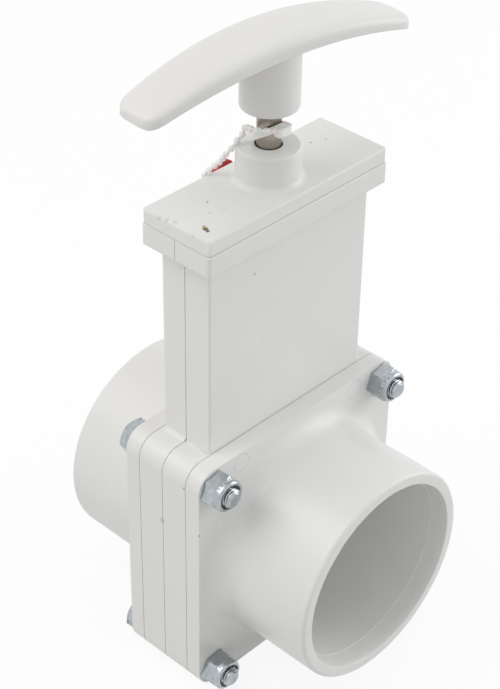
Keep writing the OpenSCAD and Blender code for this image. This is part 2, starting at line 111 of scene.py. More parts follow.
# Moulding marks: place and radius in mm, colour, strength
HUB_MARKS = (
    ((-42.2, -15.2, 63.2), 0.5, "#5A5A58", 0.8),
    ((-33.7, -15, 62), 0.6, "#F4F4F2", 0.8),
)
BODY_MARKS = (
    ((-14.6, -9.4, 138.4), 0.45, "#9C9992", 0.6),
    ((-31.9, 5.8, 90.8), 0.4, "#6D6A64", 0.7),
    ((-42.2, -9, 77.6), 0.5, "#6B6862", 0.7),
    ((-42.2, 0.4, 59.7), 1.2, "#BDBAB3", 0.5),
)
CAP_MARKS = (
    ((-30.8, -5.9, CAP_TOP), 0.75, "#BFAE3E", 0.9),
    ((-31.4, -7.0, CAP_TOP), 1.05, "#5A4A26", 0.95),
    ((-31.7, -8.1, CAP_TOP), 0.75, "#4A4030", 0.9),
    ((-21.4, 2.2, CAP_TOP), 0.5, "#8B8983", 0.7),
    ((-24.9, -2.2, CAP_TOP), 0.3, "#8B8983", 0.6),
    ((-21.0, -3.7, CAP_TOP), 0.3, "#8B8983", 0.6),
    ((22.3, 4.3, CAP_TOP), 0.4, "#85837D", 0.7),
    ((26.8, 2.7, CAP_TOP), 0.35, "#8B8983", 0.6),
    ((-35.7, 6.1, 159), 1.0, "#A9A7A2", 0.3),
    ((-35.1, 3.7, 159), 1.0, "#A9A7A2", 0.3),
    ((-34.6, 1.1, 159), 1.0, "#A9A7A2", 0.3),
    ((-36.3, -6.8, 159), 1.0, "#A9A7A2", 0.3),
)
# Where ejector pins pushed each hub out, on its flange's face
PINS = tuple(
    (x * MM, y * MM, (BORE_Z + rise) * MM)
    for x in (-PIN_X, PIN_X) for y in (-FLANGE_Y, FLANGE_Y) for rise in (-PIN_RISE, PIN_RISE))

# ---- stage ---------------------------------------------------------------------------

FLOOR_SIDE = 8
ROOM_LIGHT = 0.63
# The softboxes' distance from the valve's middle and their side, in metres
LAMP_REACH = 0.9
LAMP_SIDE = 0.7
# Name, direction from the valve, watts and tint of each softbox
LAMPS = (
    ("back_left_softbox", (-0.557, 0.321, 0.766), 2.75, (1.0, 0.985, 0.965)),
    ("front_right_softbox", (0.837, -0.483, 0.259), 2.8, (0.97, 1.0, 1.0)),
)
# The camera's turn about Z, its height above the horizon and its roll, in degrees
CAMERA_TURN = -46.72
CAMERA_LIFT = 35.98
CAMERA_ROLL = 0.95
CAMERA_LENS = 93.87
CAMERA_REACH = 525.3 * MM
CAMERA_TARGET = Vector((-4.56, 1.46, 103.76)) * MM


def linear(colour):
    """Linear red, green and blue of an sRGB hex colour."""
    parts = (int(colour[i:i + 2], 16) / 255 for i in (1, 3, 5))
    return tuple(c / 12.92 if c <= 0.04045 else ((c + 0.055) / 1.055) ** 2.4 for c in parts)


def colour_property(name, colour, description):
    return FloatVectorProperty(
        name=name, description=description, subtype="COLOR", size=3, min=0, max=1, default=linear(colour))


def length_property(name, millimetres, description):
    return FloatProperty(
        name=name, description=description, unit="LENGTH", subtype="DISTANCE", min=0,
        default=millimetres * MM, precision=5)


class ValveSizes(bpy.types.PropertyGroup):
    """Rounds and small details that the construction model leaves out."""

    hub_round: length_property("Hub flange edge", 0.5, "Round along the outline of each hub's flange")
    seam_round: length_property("Parting edge", 0.2, "Small round where two mouldings meet")
    cap_round: length_property("Cap seam edge", 0.45, "Round along both sides of the seam under the cap")
    mouth_flare: length_property("Mouth flare", 0.4, "How far a mouth opens beyond the lead-in band")
    mouth_round: length_property("Mouth edge", 0.15, "Round between a socket's lip and its flare")
    lead_taper: length_property("Lead-in taper", 0.2, "How far the lead-in band narrows to its inner end")
    lead_cut: length_property("Lead-in cut", 1.4, "How much nearer the lip the lead-in band ends")
    hexagon_rise: length_property("Hexagon rise", 0.7, "How much of the collar's height goes to the hexagon")
    insert_rise: length_property("Insert rise", 0.4, "How far the nylon swells out of its ring's recess")
    end_rise: length_property("Bolt end rise", 0.3, "How much further a bolt's end stands out")
    end_chamfer: length_property("Bolt end chamfer", 0.9, "Chamfer on a bolt's end")
    thread_pitch: length_property("Thread pitch", 1.0, "Pitch of the 6 mm machine thread")
    thread_depth: length_property("Thread depth", 0.6, "Depth of the thread on the bolt ends")
    dimple: length_property("Bolt end dimple", 0.25, "Depth of the dimple in a bolt's end")
    dimple_rim: length_property("Dimple's rim", 0.7, "Width of the flat rim round the dimple")
    head_round: length_property("Tie head edge", 0.5, "Round on the edges of the tie's head")
    clip_round: length_property("Clip edge", 0.3, "Round along the lock clip's edges")
    pin_ring: length_property("Ejector ring", 3.0, "Radius of the ring that an ejector pin leaves")
    thread_turns: IntProperty(
        name="Thread turns", description="Turns of thread cut into each bolt's end", default=4, min=1, max=12)


class ValveColours(bpy.types.PropertyGroup):
    """Colours of the finishes."""

    pvc: colour_property("White PVC", "#ECECEA", "Moulded white PVC of the hubs and body")
    cap: colour_property("Cap PVC", "#ECECEA", "Moulded white PVC of the cap")
    handle: colour_property("Handle plastic", "#E9E8E6", "Moulded white plastic of the handle")
    gate: colour_property("Gate plastic", "#DAD8D3", "Smooth white plastic of the gate")
    steel: colour_property("Stainless steel", "#A39B91", "Drawn stainless steel of the shaft")
    zinc: colour_property("Zinc plate", "#B2B8BC", "Bright zinc plate on the nuts and bolts")
    insert: colour_property("Insert nylon", "#31342E", "Dark nylon ring in each locknut")
    tie: colour_property("Tie nylon", "#FAFAF7", "Natural nylon of the beaded tie")
    clip: colour_property("Clip red", "#C8323A", "Red plastic of the lock clip")
    rubber: colour_property("Seal rubber", "#17171A", "Moulded rubber of the seals and wiper")
    floor: colour_property("Floor", "#CDCDCC", "Pale floor under the valve")


# ---- materials -----------------------------------------------------------------------

def add(tree, kind, settings=(), links=()):
    """Adds a shader node: settings by property or socket name, links as input and output."""
    made = tree.nodes.new("ShaderNode" + kind)
    for key, value in dict(settings).items():
        if isinstance(key, str) and key in made.bl_rna.properties:
            setattr(made, key, value)
        else:
            made.inputs[key].default_value = value
    for key, output in dict(links).items():
        tree.links.new(output, made.inputs[key])
    return made


def start(name):
    """A new material with its tree, shader and Object coordinates."""
    material = bpy.data.materials.new(name)
    material.use_nodes = True
    tree = material.node_tree
    shader = tree.nodes["Principled BSDF"]
    place = add(tree, "TexCoord").outputs["Object"]
    return material, tree, shader, place


def blend_colour(tree, first, second, amount):
    """A colour mix of two colours or outputs by an amount."""
    made = add(tree, "Mix", {"data_type": "RGBA"}, {0: amount})
    for socket, value in ((6, first), (7, second)):
        if isinstance(value, bpy.types.NodeSocket):
            tree.links.new(value, made.inputs[socket])
        else:
            made.inputs[socket].default_value = (*value, 1)
    return made.outputs[2]


def shade_of(colour, factor):
    return tuple(min(1, c * factor) for c in colour)


def strongest(tree, values):
    """The largest of several outputs."""
    top = values[0]
    for value in values[1:]:
        top = add(tree, "Math", {"operation": "MAXIMUM"}, {0: top, 1: value}).outputs[0]
    return top


def seen_rays(tree):
    """1 for rays from the camera, from gloss and through anything clear, and 0 for the rest."""
    rays = add(tree, "LightPath")
    return strongest(tree, [rays.outputs[f"Is {kind} Ray"] for kind in ("Camera", "Glossy", "Transmission")])


def moulded_pvc(name, colour, roughness, marks=(), pins=(), fleck=0.5):
    """Injection-moulded rigid PVC, white: satin gloss from a fine-ground mould, faint
    flow clouds, a few grey specks in the resin, scuffs and pits given as marks (place,
    radius, colour, strength), and witness rings where pins pushed the moulding out,
    cut as shallow grooves and darkened with painted shade."""
    material, tree, shader, place = start(name)
    # flow clouds 20 mm across
    clouds = add(tree, "TexNoise", {"Scale": 1 / (20 * MM), "Detail": 3, "Roughness": 0.5}, {"Vector": place})
    tone = blend_colour(tree, shade_of(colour, 0.965), shade_of(colour, 1.02), clouds.outputs["Fac"])
    # specks up to 0.5 mm across in cells of 9 mm, and only in some cells
    cells = add(tree, "TexVoronoi", {"Scale": 1 / (9 * MM), "Randomness": 1.0}, {"Vector": place})
    near = add(tree, "MapRange", {"From Min": 0.012, "From Max": 0.03, "To Min": 1.0, "To Max": 0.0},
               {"Value": cells.outputs["Distance"]})
    some = add(tree, "SeparateColor", {}, {"Color": cells.outputs["Color"]})
    rare = add(tree, "Math", {"operation": "GREATER_THAN", 1: 0.72}, {0: some.outputs["Red"]})
    speck = add(tree, "Math", {"operation": "MULTIPLY"}, {0: near.outputs["Result"], 1: rare.outputs[0]})
    faint = add(tree, "Math", {"operation": "MULTIPLY", 1: fleck}, {0: speck.outputs[0]})
    tone = blend_colour(tree, tone, linear("#77736B"), faint.outputs[0])
    # marks with edges that noise shifts by up to 0.8 mm, and by half of that on average
    shift_mm = 0.8
    ragged = add(tree, "TexNoise", {"Scale": 1 / (0.6 * MM), "Detail": 2}, {"Vector": place})
    shake = add(tree, "VectorMath", {"operation": "SCALE", "Scale": shift_mm * MM},
                {0: ragged.outputs["Color"]})
    moved = add(tree, "VectorMath", {"operation": "ADD"}, {0: place, 1: shake.outputs[0]})
    for where, radius, hue, strength in marks:
        centre = [(c + shift_mm / 2) * MM for c in where]
        away = add(tree, "VectorMath", {"operation": "DISTANCE", 1: centre}, {0: moved.outputs[0]})
        inside = add(tree, "MapRange", {"From Min": radius * 0.6 * MM, "From Max": radius * MM,
                                        "To Min": strength, "To Max": 0.0}, {"Value": away.outputs["Value"]})
        tone = blend_colour(tree, tone, linear(hue), inside.outputs["Result"])
    # lines 0.7 mm wide round the pins' places: the witness rings, whose darkening below is painted shade of
    # their shallow grooves
    lines = []
    for where in pins:
        away = add(tree, "VectorMath", {"operation": "DISTANCE", 1: where}, {0: place})
        beside = add(tree, "Math", {"operation": "SUBTRACT", 1: sizes().pin_ring}, {0: away.outputs["Value"]})
        aside = add(tree, "Math", {"operation": "ABSOLUTE"}, {0: beside.outputs[0]})
        line = add(tree, "MapRange", {"From Min": 0.0, "From Max": 0.35 * MM, "To Min": 1.0, "To Max": 0.0},
                   {"Value": aside.outputs[0]})
        lines.append(line.outputs["Result"])
    if lines:
        rings = strongest(tree, lines)
        # painted shade: the rings' lines are darkened towards 0.7 of the colour, standing in for the shade in
        # their grooves
        faint = add(tree, "Math", {"operation": "MULTIPLY", 1: 0.4}, {0: rings})
        tone = blend_colour(tree, tone, shade_of(colour, 0.7), faint.outputs[0])
    tree.links.new(tone, shader.inputs["Base Color"])
    # ground-mould texture 0.35 mm, and slow waviness 14 mm
    grain = add(tree, "TexNoise", {"Scale": 1 / (0.35 * MM), "Detail": 2}, {"Vector": place})
    waves = add(tree, "TexNoise", {"Scale": 1 / (14 * MM), "Detail": 1}, {"Vector": place})
    gloss = add(tree, "MapRange", {"To Min": roughness - 0.05, "To Max": roughness + 0.06},
                {"Value": grain.outputs["Fac"]})
    tree.links.new(gloss.outputs["Result"], shader.inputs["Roughness"])
    wavy = add(tree, "Bump", {"Strength": 0.25, "Distance": 0.12 * MM}, {"Height": waves.outputs["Fac"]})
    bump = add(tree, "Bump", {"Strength": 0.12, "Distance": 0.02 * MM},
               {"Height": grain.outputs["Fac"], "Normal": wavy.outputs["Normal"]})
    if lines:
        bump = add(tree, "Bump", {"Strength": 0.6, "Distance": 0.06 * MM, "invert": True},
                   {"Height": rings, "Normal": bump.outputs["Normal"]})
    tree.links.new(bump.outputs["Normal"], shader.inputs["Normal"])
    shader.inputs["IOR"].default_value = 1.53
    return material


def drawn_stainless(name, colour):
    """Cold-drawn stainless rod: fine lines along its length and a brown-grey cast."""
    material, tree, shader, place = start(name)
    # lines 0.15 mm wide and 12 mm long
    along = add(tree, "Mapping", {"Scale": (1 / (0.15 * MM), 1 / (0.15 * MM), 1 / (12 * MM))},
                {"Vector": place})
    lines = add(tree, "TexNoise", {"Scale": 1.0, "Detail": 3}, {"Vector": along.outputs["Vector"]})
    stain = add(tree, "TexNoise", {"Scale": 1 / (4 * MM), "Detail": 4}, {"Vector": place})
    tone = blend_colour(tree, shade_of(colour, 0.72), shade_of(colour, 1.15), stain.outputs["Fac"])
    tree.links.new(tone, shader.inputs["Base Color"])
    gloss = add(tree, "MapRange", {"To Min": 0.2, "To Max": 0.42}, {"Value": lines.outputs["Fac"]})
    tree.links.new(gloss.outputs["Result"], shader.inputs["Roughness"])
    bump = add(tree, "Bump", {"Strength": 0.3, "Distance": 0.01 * MM}, {"Height": lines.outputs["Fac"]})
    tree.links.new(bump.outputs["Normal"], shader.inputs["Normal"])
    shader.inputs["Metallic"].default_value = 1.0
    return material


def zinc_plated_steel(name, colour):
    """Bright zinc plate over turned steel: cool grey-white, bright with slight clouding."""
    material, tree, shader, place = start(name)
    cloud = add(tree, "TexNoise", {"Scale": 1 / (1.6 * MM), "Detail": 4}, {"Vector": place})
    patch = add(tree, "MapRange", {"From Min": 0.3, "From Max": 0.7}, {"Value": cloud.outputs["Fac"]})
    tone = blend_colour(tree, shade_of(colour, 0.84), shade_of(colour, 1.1), patch.outputs["Result"])
    tree.links.new(tone, shader.inputs["Base Color"])
    fine = add(tree, "TexNoise", {"Scale": 1 / (0.3 * MM), "Detail": 2}, {"Vector": place})
    gloss = add(tree, "MapRange", {"To Min": 0.17, "To Max": 0.3}, {"Value": fine.outputs["Fac"]})
    tree.links.new(gloss.outputs["Result"], shader.inputs["Roughness"])
    bump = add(tree, "Bump", {"Strength": 0.25, "Distance": 0.02 * MM}, {"Height": fine.outputs["Fac"]})
    tree.links.new(bump.outputs["Normal"], shader.inputs["Normal"])
    shader.inputs["Metallic"].default_value = 1.0
    return material


def natural_nylon(name, colour):
    """Moulded natural nylon: milky, so that light soaks in, with a wet-looking gloss."""
    material, tree, shader, place = start(name)
    milk = add(tree, "TexNoise", {"Scale": 1 / (1.5 * MM), "Detail": 3}, {"Vector": place})
    tone = blend_colour(tree, shade_of(colour, 0.94), shade_of(colour, 1.04), milk.outputs["Fac"])
    tree.links.new(tone, shader.inputs["Base Color"])
    gloss = add(tree, "MapRange", {"To Min": 0.22, "To Max": 0.36}, {"Value": milk.outputs["Fac"]})
    tree.links.new(gloss.outputs["Result"], shader.inputs["Roughness"])
    bump = add(tree, "Bump", {"Strength": 0.2, "Distance": 0.05 * MM}, {"Height": milk.outputs["Fac"]})
    tree.links.new(bump.outputs["Normal"], shader.inputs["Normal"])
    shader.inputs["IOR"].default_value = 1.53
    shader.inputs["Subsurface Weight"].default_value = 0.4
    shader.inputs["Subsurface Scale"].default_value = 0.5 * MM
    return material


def plain_plastic(name, colour, roughness, grain_mm, bump_mm, ior=1.5):
    """Coloured moulded plastic or rubber: even colour with slight mottling and a fine grain."""
    material, tree, shader, place = start(name)
    mottle = add(tree, "TexNoise", {"Scale": 1 / (5 * MM), "Detail": 3}, {"Vector": place})
    tone = blend_colour(tree, shade_of(colour, 0.88), shade_of(colour, 1.1), mottle.outputs["Fac"])
    tree.links.new(tone, shader.inputs["Base Color"])
    grain = add(tree, "TexNoise", {"Scale": 1 / (grain_mm * MM), "Detail": 2}, {"Vector": place})
    gloss = add(tree, "MapRange", {"To Min": roughness - 0.06, "To Max": roughness + 0.06},
                {"Value": grain.outputs["Fac"]})
    tree.links.new(gloss.outputs["Result"], shader.inputs["Roughness"])
    bump = add(tree, "Bump", {"Strength": 0.3, "Distance": bump_mm * MM}, {"Height": grain.outputs["Fac"]})
    tree.links.new(bump.outputs["Normal"], shader.inputs["Normal"])
    shader.inputs["IOR"].default_value = ior
    return material


# ---- modelling -----------------------------------------------------------------------

def only(piece):
    """Leaves just this piece selected and active."""
    bpy.ops.object.select_all(action="DESELECT")
    piece.select_set(True)
    bpy.context.view_layer.objects.active = piece


def paint(piece, material):
    piece.data.materials.clear()
    piece.data.materials.append(material)


def copy_of(node, name, merge=0.002 * MM):
    """A merged copy of a construction node's mesh, with flat faces joined up."""
    piece = bpy.data.objects.new(name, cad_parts[node].data.copy())
    bpy.context.scene.collection.objects.link(piece)
    only(piece)
    bpy.ops.object.mode_set(mode="EDIT")
    bpy.ops.mesh.select_all(action="SELECT")
    bpy.ops.mesh.remove_doubles(threshold=merge)
    bpy.ops.mesh.dissolve_limited(angle_limit=math.radians(0.5))
    bpy.ops.object.mode_set(mode="OBJECT")
    return piece


def bevel_edges(piece, wanted, width, segments=2, clamp=True, sharp=28):
    """Bevels, in edit mode, the outer edges that turn by more than sharp degrees and for
    whose two ends wanted(first, last) holds."""
    only(piece)
    mesh = piece.data
    sides = {}
    for face in mesh.polygons:
        for key in face.edge_keys:
            sides.setdefault(key, []).append((face.normal.copy(), face.center.copy()))
    bpy.ops.object.mode_set(mode="EDIT")
    bpy.ops.mesh.select_mode(type="EDGE")
    bpy.ops.mesh.select_all(action="DESELECT")
    bpy.ops.object.mode_set(mode="OBJECT")
    chosen = 0
    for edge in mesh.edges:
        beside = sides.get(edge.key, [])
        if len(beside) != 2:
            continue
        (way, middle), (other_way, other_middle) = beside
        if way.angle(other_way, 0) > math.radians(sharp) and (other_middle - middle).dot(way) < 0:
            if wanted(*(mesh.vertices[i].co for i in edge.vertices)):
                edge.select = True
                chosen += 1
    if not chosen:
        raise RuntimeError(f"no edge to bevel on {piece.name}")
    bpy.ops.object.mode_set(mode="EDIT")
    bpy.ops.mesh.bevel(offset=width, offset_type="OFFSET", segments=segments, affect="EDGES",
                       clamp_overlap=clamp)
    bpy.ops.object.mode_set(mode="OBJECT")


def pick(piece, wanted):
    """Goes into edit mode with the vertices selected whose places wanted(place) allows."""
    only(piece)
    bpy.ops.object.mode_set(mode="EDIT")
    bpy.ops.mesh.select_mode(type="VERT")
    bpy.ops.mesh.select_all(action="DESELECT")
    bpy.ops.object.mode_set(mode="OBJECT")
    chosen = [vertex for vertex in piece.data.vertices if wanted(vertex.co)]
    if not chosen:
        raise RuntimeError(f"no vertex to pick on {piece.name}")
    for vertex in chosen:
        vertex.select = True
    bpy.ops.object.mode_set(mode="EDIT")


def shift(piece, wanted, by):
    """Moves the vertices that wanted(place) allows."""
    pick(piece, wanted)
    bpy.ops.transform.translate(value=by)
    bpy.ops.object.mode_set(mode="OBJECT")


def smooth(piece, degrees=35, crease=None):
    """Smooth shading up to an angle, led by the large faces, and broken along the edges
    for whose ends crease(place) holds."""
    only(piece)
    bpy.ops.object.shade_smooth_by_angle(angle=math.radians(degrees))
    if crease:
        pick(piece, crease)
        bpy.ops.mesh.mark_sharp()
        bpy.ops.object.mode_set(mode="OBJECT")
    bpy.ops.object.modifier_add(type="WEIGHTED_NORMAL")
    piece.modifiers[-1].keep_sharp = True
    bpy.ops.object.modifier_apply(modifier=piece.modifiers[-1].name)


def settle(piece, body, material, node):
    """Gives a finished piece its finish and its body, and hides the construction node that it stands for."""
    paint(piece, material)
    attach(piece, body)
    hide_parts(node)


def keep(node, material):
    """Leaves a construction node showing, in its finish."""
    paint(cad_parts[node], material)


def sizes():
    return bpy.context.scene.valve_sizes


def colours():
    return bpy.context.scene.valve_colours


class VALVE_OT_hubs(bpy.types.Operator):
    """Dress the two flanged hubs with their pipe sockets"""

    bl_idname = "valve.hubs"
    bl_label = "Hubs"

    def round_flange(self, piece, joint, middle, outline):
        """Rounds the flange's outline, most on the face away from the body."""
        size = sizes()

        def on_outline(place):
            x, z = abs(place.x), abs(place.z - middle)
            return max(x, z) > outline * 0.86 and math.hypot(x, z) > BARREL_R

        def on_face(first, last):
            return all(on_outline(p) and abs(p.y - joint) > 1 * MM for p in (first, last))

        def on_seam(first, last):
            return all(on_outline(p) and abs(p.y - joint) < 0.2 * MM for p in (first, last))

        bevel_edges(piece, on_face, size.hub_round, 3)
        bevel_edges(piece, on_seam, size.seam_round)

    def flare_mouth(self, piece, mouth, middle):
        """Flares the lead-in band towards the lip, narrows it inwards and ends it nearer
        the lip, and rounds the lip's inner edge."""
        size = sizes()
        inward = -1 if mouth > 0 else 1

        def radius(place):
            return math.hypot(place.x, place.z - middle)

        def depth(place):
            return abs(place.y - mouth)

        def on_band(place):
            return depth(place) < LEAD_DEPTH + 0.1 * MM and radius(place) < LEAD_R + 0.1 * MM

        def on_step(place):
            return abs(depth(place) - LEAD_DEPTH) < NEAR and radius(place) < LEAD_R

        def on_lip(first, last):
            return all(depth(p) < NEAR and radius(p) < MOUTH_R for p in (first, last))

        for deep, _ in FLARE:
            pick(piece, on_band)
            bpy.ops.mesh.bisect(plane_co=(0, mouth + inward * deep, 0), plane_no=(0, 1, 0))
            bpy.ops.object.mode_set(mode="OBJECT")
        for deep, spread in ((0, size.mouth_flare), (LEAD_DEPTH, -size.lead_taper), *FLARE):
            pick(piece, lambda p: abs(depth(p) - deep) < NEAR and abs(radius(p) - LEAD_R) < 0.05 * MM)
            grow = 1 + spread / LEAD_R
            bpy.ops.transform.resize(value=(grow, 1, grow), center_override=(0, mouth, middle))
            bpy.ops.object.mode_set(mode="OBJECT")
        shift(piece, on_step, (0, -inward * size.lead_cut, 0))
        bevel_edges(piece, on_lip, size.mouth_round, clamp=False)

    def execute(self, context):
        material = moulded_pvc("moulded_pvc_hub", tuple(colours().pvc), 0.34, HUB_MARKS, PINS)
        for node in ("front_hub", "rear_hub"):
            piece = copy_of(node, node + "_moulding")
            low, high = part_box(node)
            middle = (low.z + high.z) / 2
            # the flange is the end that meets the body, and the mouth the other
            joint, mouth = sorted((low.y, high.y), key=abs)
            self.round_flange(piece, joint, middle, (high.x - low.x) / 2)
            self.flare_mouth(piece, mouth, middle)
            smooth(piece)
            settle(piece, FIXED, material, node)
        return {"FINISHED"}


class VALVE_OT_body_halves(bpy.types.Operator):
    """Dress the two halves of the gate housing"""

    bl_idname = "valve.body_halves"
    bl_label = "Body halves"

    def execute(self, context):
        material = moulded_pvc("moulded_pvc_body", tuple(colours().pvc), 0.33, BODY_MARKS)
        for node in ("front_body_half", "rear_body_half"):
            piece = copy_of(node, node + "_moulding")
            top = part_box(node)[1].z

            def on_rim_top(first, last):
                return all(abs(p.z - top) < NEAR and abs(p.y) > RIM_Y for p in (first, last))

            def elsewhere(first, last):
                # neither on the rim's top nor on the mid plane, where the halves meet
                return not any(p.z > top - 1 * MM or abs(p.y) < 0.05 * MM for p in (first, last))

            bevel_edges(piece, on_rim_top, sizes().cap_round, 3)
            bevel_edges(piece, elsewhere, sizes().seam_round)
            smooth(piece)
            settle(piece, FIXED, material, node)
        return {"FINISHED"}


class VALVE_OT_cap(bpy.types.Operator):
    """Dress the bonnet cap with its guide boss"""

    bl_idname = "valve.cap"
    bl_label = "Bonnet cap"

    def execute(self, context):
        material = moulded_pvc("moulded_pvc_cap", tuple(colours().cap), 0.33, CAP_MARKS)
        piece = copy_of("bonnet_cap", "bonnet_cap_moulding")
        low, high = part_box("bonnet_cap")

        def on_underside(first, last):
            return all(p.z < low.z + 0.5 * MM and max(abs(p.x) / high.x, abs(p.y) / high.y) > 0.8
                       for p in (first, last))

        def on_guide(first, last):
            return all(p.z > high.z - NEAR and math.hypot(p.x, p.y) < GUIDE_R for p in (first, last))

        bevel_edges(piece, on_underside, sizes().cap_round, 3)
        bevel_edges(piece, on_guide, sizes().mouth_round)
        smooth(piece)
        settle(piece, FIXED, material, "bonnet_cap")
        return {"FINISHED"}


class VALVE_OT_gate_set(bpy.types.Operator):
    """Finish the gate, shaft, seals and wiper"""

    bl_idname = "valve.gate_set"
    bl_label = "Gate, shaft and seals"

    def execute(self, context):
        keep("gate", moulded_pvc("smooth_gate_plastic", tuple(colours().gate), 0.28, fleck=0.2))
        keep("shaft", drawn_stainless("drawn_stainless_shaft", tuple(colours().steel)))
        rubber = plain_plastic("moulded_seal_rubber", tuple(colours().rubber), 0.5,
                               grain_mm=0.4, bump_mm=0.02, ior=1.52)
        for node in ("front_seal", "rear_seal", "shaft_wiper"):
            keep(node, rubber)
        return {"FINISHED"}


class VALVE_OT_handle(bpy.types.Operator):
    """Dress the arched pull handle with its hub"""

    bl_idname = "valve.handle"
    bl_label = "Handle"

    def execute(self, context):
        material = moulded_pvc("moulded_handle_plastic", tuple(colours().handle), 0.36)
        piece = copy_of("handle", "handle_moulding", 0.05 * MM)
        under_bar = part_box("handle")[0].z + HUB_REACH

        def on_hub_top(place):
            return place.z > under_bar and abs(math.hypot(place.x, place.y) - HANDLE_HUB_R) < 0.1 * MM

        smooth(piece, 40, on_hub_top)
        settle(piece, MOVING, material, "handle")
        return {"FINISHED"}


class VALVE_OT_bolts(bpy.types.Operator):
    """Dress the four hexagon bolts and thread their ends"""

    bl_idname = "valve.bolts"
    bl_label = "Bolts"

    def thread_cutter(self):
        """A three-sided groove wound right-handed about the Y axis, starting at y = 0."""
        size = sizes()
        # the triangle's circle: its side, 1.73 times this, stays under the pitch and leaves crests
        side = size.thread_depth * 0.87
        bpy.ops.object.select_all(action="DESELECT")
        bpy.ops.mesh.primitive_circle_add(
            vertices=3, radius=side, location=(BOLT_R - size.thread_depth + side, 0, 0),
            rotation=(0, 0, math.radians(90)))
        cutter = bpy.context.object
        cutter.name = "thread_cutter"
        bpy.ops.object.transform_apply(location=True, rotation=True)
        bpy.ops.object.modifier_add(type="SCREW")
        winding = cutter.modifiers[-1]
        winding.axis = "Y"
        winding.screw_offset = size.thread_pitch
        winding.iterations = size.thread_turns
        winding.steps = winding.render_steps = 24
        winding.use_merge_vertices = False
        bpy.ops.object.modifier_apply(modifier=winding.name)
        bpy.ops.object.mode_set(mode="EDIT")
        bpy.ops.mesh.select_all(action="SELECT")
        bpy.ops.mesh.fill_holes(sides=3)
        bpy.ops.mesh.normals_make_consistent(inside=False)
        bpy.ops.object.mode_set(mode="OBJECT")
        return cutter

    def cut_thread(self, piece, cutter, place):
        """Cuts the thread with a copy of the cutter moved to its place."""
        groove = bpy.data.objects.new("groove", cutter.data.copy())
        bpy.context.scene.collection.objects.link(groove)
        only(groove)
        bpy.ops.transform.translate(value=place)
        only(piece)
        bpy.ops.object.modifier_add(type="BOOLEAN")
        cut = piece.modifiers[-1]
        cut.operation = "DIFFERENCE"
        cut.solver = "EXACT"
        cut.object = groove
        bpy.ops.object.modifier_apply(modifier=cut.name)
        bpy.data.objects.remove(groove)

    def execute(self, context):
        size = sizes()
        material = zinc_plated_steel("zinc_plated_bolt_steel", tuple(colours().zinc))
        cutter = self.thread_cutter()
        for corner in CORNERS:
            node = "bolt_" + corner
            piece = copy_of(node, node + "_turned")
            low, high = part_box(node)
            x, z = (low.x + high.x) / 2, (low.z + high.z) / 2
            end = low.y - size.end_rise
            # the end face is drawn in and out for the wider chamfer
            pick(piece, lambda p: p.y < low.y + NEAR)
            shrink = (BOLT_R - size.end_chamfer) / (BOLT_R - PLAIN_CHAMFER)
            bpy.ops.transform.resize(value=(shrink, 1, shrink), center_override=(x, low.y, z))
            bpy.ops.transform.translate(value=(0, -size.end_rise, 0))
            bpy.ops.object.mode_set(mode="OBJECT")
            # and the chamfer's other end is pushed back
            root = low.y + PLAIN_CHAMFER
            shift(piece, lambda p: abs(p.y - root) < NEAR, (0, end + size.end_chamfer - root, 0))
            self.cut_thread(piece, cutter, (x, end - size.thread_pitch / 2, z))
            pick(piece, lambda p: p.y < end + NEAR)
            bpy.ops.mesh.select_mode(type="FACE")
            bpy.ops.mesh.inset(thickness=size.dimple_rim)
            bpy.ops.transform.translate(value=(0, size.dimple, 0))
            bpy.ops.object.mode_set(mode="OBJECT")
            smooth(piece, 30)
            settle(piece, FIXED, material, node)
        bpy.data.objects.remove(cutter)
        return {"FINISHED"}


class VALVE_OT_nuts(bpy.types.Operator):
    """Dress the four locknuts and their nylon rings"""

    bl_idname = "valve.nuts"
    bl_label = "Locknuts"

    def execute(self, context):
        size = sizes()
        material = zinc_plated_steel("zinc_plated_nut_steel", tuple(colours().zinc))
        nylon = plain_plastic("dark_insert_nylon", tuple(colours().insert), 0.42,
                              grain_mm=0.3, bump_mm=0.02, ior=1.53)
        for corner, turn in zip(CORNERS, NUT_TURNS):
            node, ring_node = "nut_" + corner, "nylon_ring_" + corner
            piece = copy_of(node, node + "_pressed")
            ring = copy_of(ring_node, ring_node + "_swollen")
            low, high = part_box(ring_node)
            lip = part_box(node)[0].y
            # the hexagon stands higher and its collar lower
            shift(piece, lambda p: HEXAGON_FRONT[0] < p.y < HEXAGON_FRONT[1], (0, -size.hexagon_rise, 0))
            pick(piece, lambda p: True)
            # with no window, rotate turns the other way
            bpy.ops.transform.rotate(value=math.radians(-turn), orient_axis="Y",
                                     center_override=((low.x + high.x) / 2, lip, (low.z + high.z) / 2))
            bpy.ops.object.mode_set(mode="OBJECT")
            shift(ring, lambda p: p.y < low.y + NEAR, (0, -size.insert_rise, 0))
            smooth(piece, 30)
            smooth(ring, 30)
            settle(piece, FIXED, material, node)
            settle(ring, FIXED, nylon, ring_node)
        return {"FINISHED"}


class VALVE_OT_tie(bpy.types.Operator):
    """Dress the beaded tie and its head"""

    bl_idname = "valve.tie"
    bl_label = "Beaded tie"

    def execute(self, context):
        material = natural_nylon("natural_nylon_tie", tuple(colours().tie))

        def on_block(first, last):
            return all(math.hypot(p.x, p.y) > TIE_BAND_R for p in (first, last))

        for node in ("tie_strap", "tie_head"):
            piece = copy_of(node, node + "_moulded")
            if node == "tie_head":
                bevel_edges(piece, on_block, sizes().head_round, 3)
            smooth(piece, 50)
            settle(piece, FIXED, material, node)
        return {"FINISHED"}


class VALVE_OT_clip(bpy.types.Operator):
    """Dress the red lock clip that hangs behind the neck"""

    bl_idname = "valve.clip"
    bl_label = "Lock clip"

    def execute(self, context):
        material = plain_plastic("red_moulded_clip", tuple(colours().clip), 0.36, grain_mm=0.5, bump_mm=0.02)
        piece = copy_of("lock_clip", "lock_clip_moulding")
        bevel_edges(piece, lambda first, last: True, sizes().clip_round)
        smooth(piece)
        settle(piece, FIXED, material, "lock_clip")
        return {"FINISHED"}


